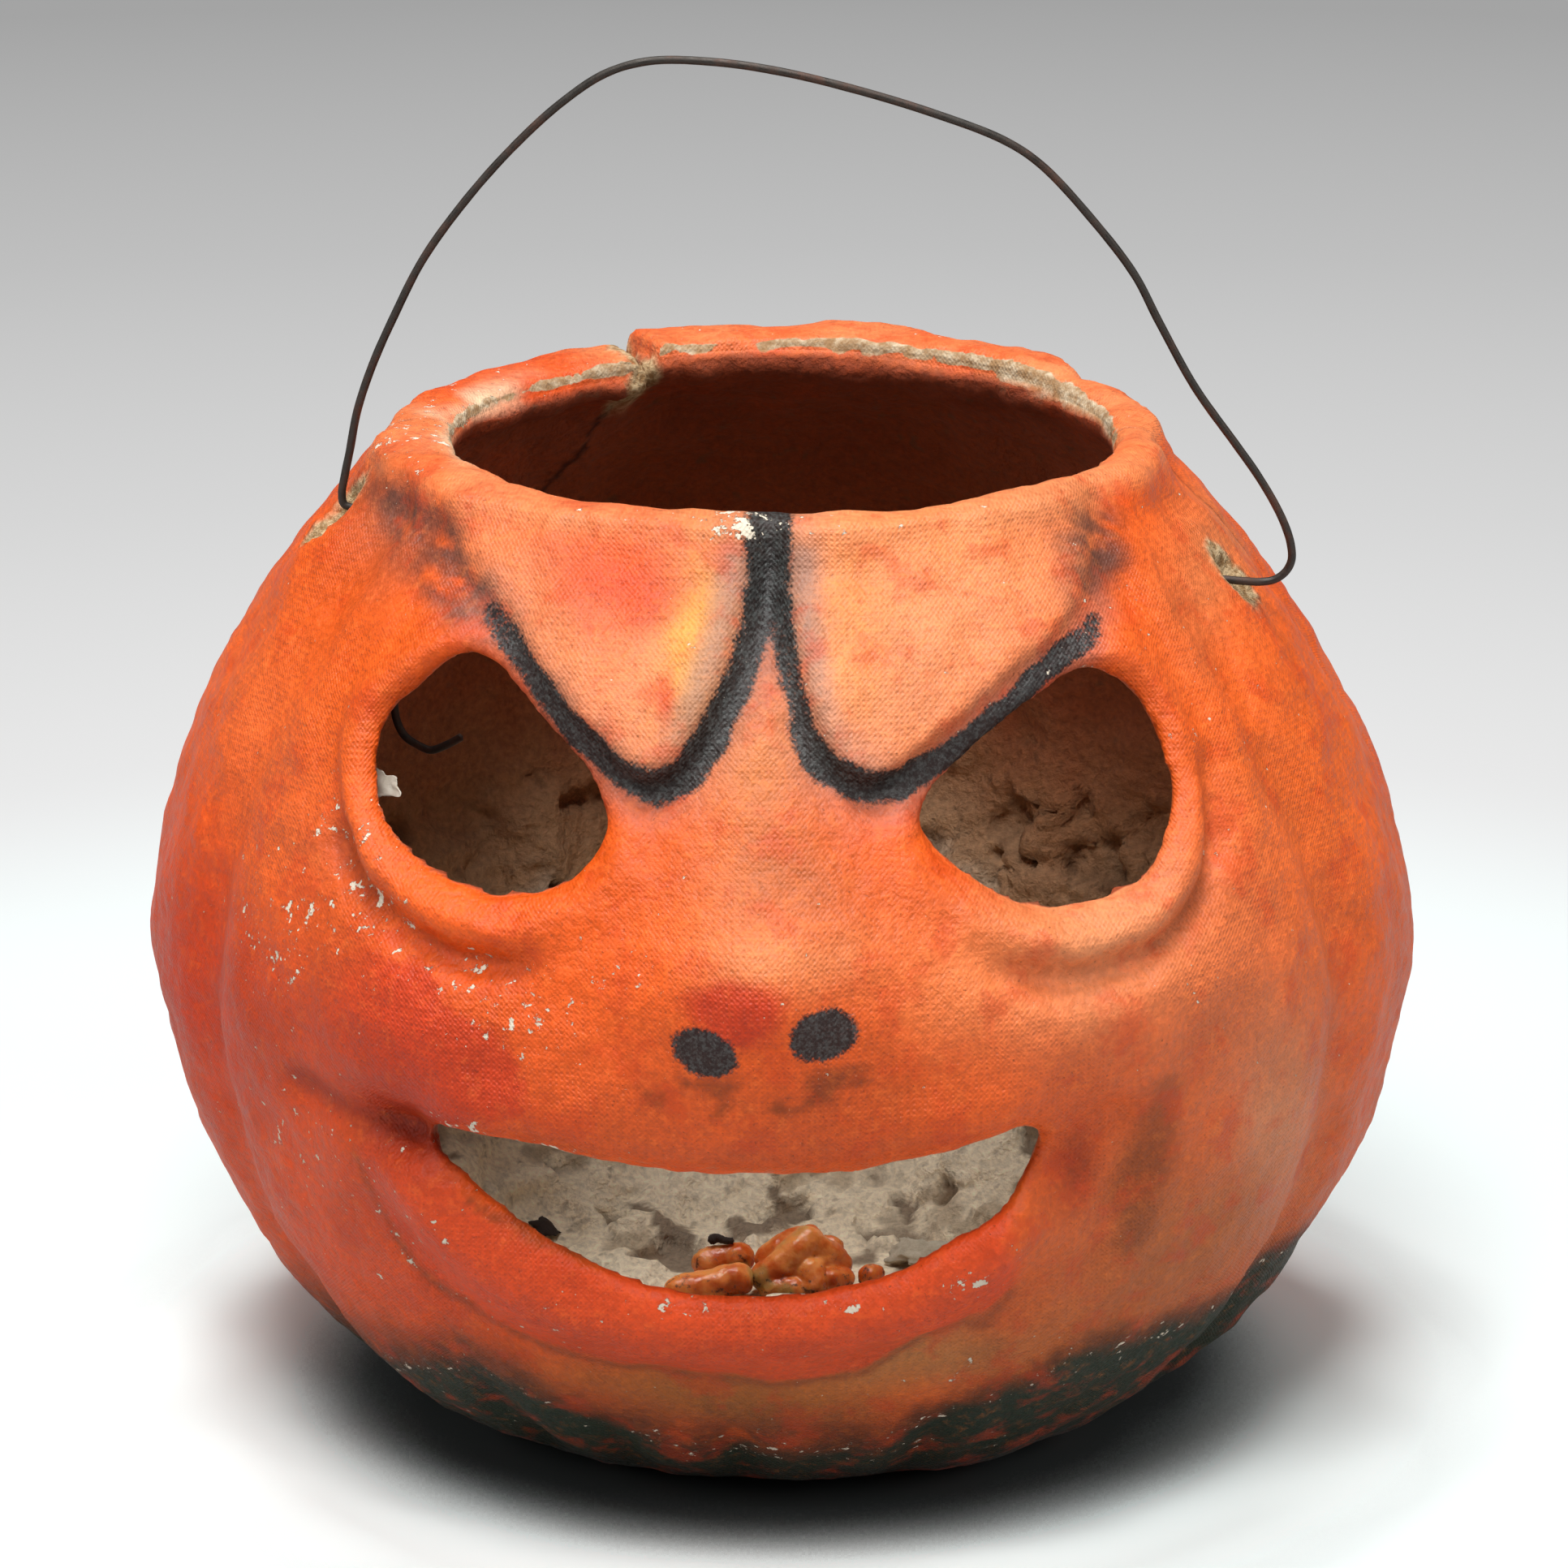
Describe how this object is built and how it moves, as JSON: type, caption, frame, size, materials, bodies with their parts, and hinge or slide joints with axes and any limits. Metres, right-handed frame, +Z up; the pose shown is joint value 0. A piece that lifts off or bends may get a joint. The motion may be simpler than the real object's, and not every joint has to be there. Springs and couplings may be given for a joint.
{
  "type": "paper mache jack-o-lantern",
  "caption": "Pressed paper pulp pumpkin lantern with a cut-out smiling face, an open rim, a swinging wire bail, and old candle wax inside",
  "frame": {"origin": "middle of the flat base, on the surface that the lantern stands on", "axes": "+Z up, -Y the way the face looks, +X to the right of somebody looking at the face"},
  "size_m": [0.1886, 0.1956, 0.2069],
  "materials": {
    "painted_pulp": "thin orange lacquer paint on pressed pulp, chipped and worn",
    "raw_pulp": "bare pressed pulp and paste, matte",
    "iron_wire": "dull iron wire, rusted dark brown",
    "candle_wax": "old translucent wax, dusty, satin",
    "charred": "charred, matte",
    "white_paper": "yellowed white paper, matte"
  },
  "bodies": {
    "shell": {"face_half": "painted_pulp", "back_half": "painted_pulp", "seam_strip_right": "raw_pulp", "seam_strip_left": "raw_pulp", "wax_mound": "candle_wax", "wax_run_front": "candle_wax", "wax_run_back": "candle_wax", "wax_run_rear": "candle_wax", "wax_crumb": "candle_wax", "wick_end": "charred", "floor_flake": "raw_pulp", "charred_scrap": "charred", "eye_paper_scrap": "white_paper"},
    "bail": {"bail_wire": "iron_wire"}
  },
  "joints": [
    {"name": "bail_swing", "type": "hinge", "parent": "shell", "child": "bail", "pos_m": [0.00205, -0.0161, 0.13485], "axis": [0.9973, -0.0099, -0.0725], "range_deg": [-50, 85]}
  ]
}
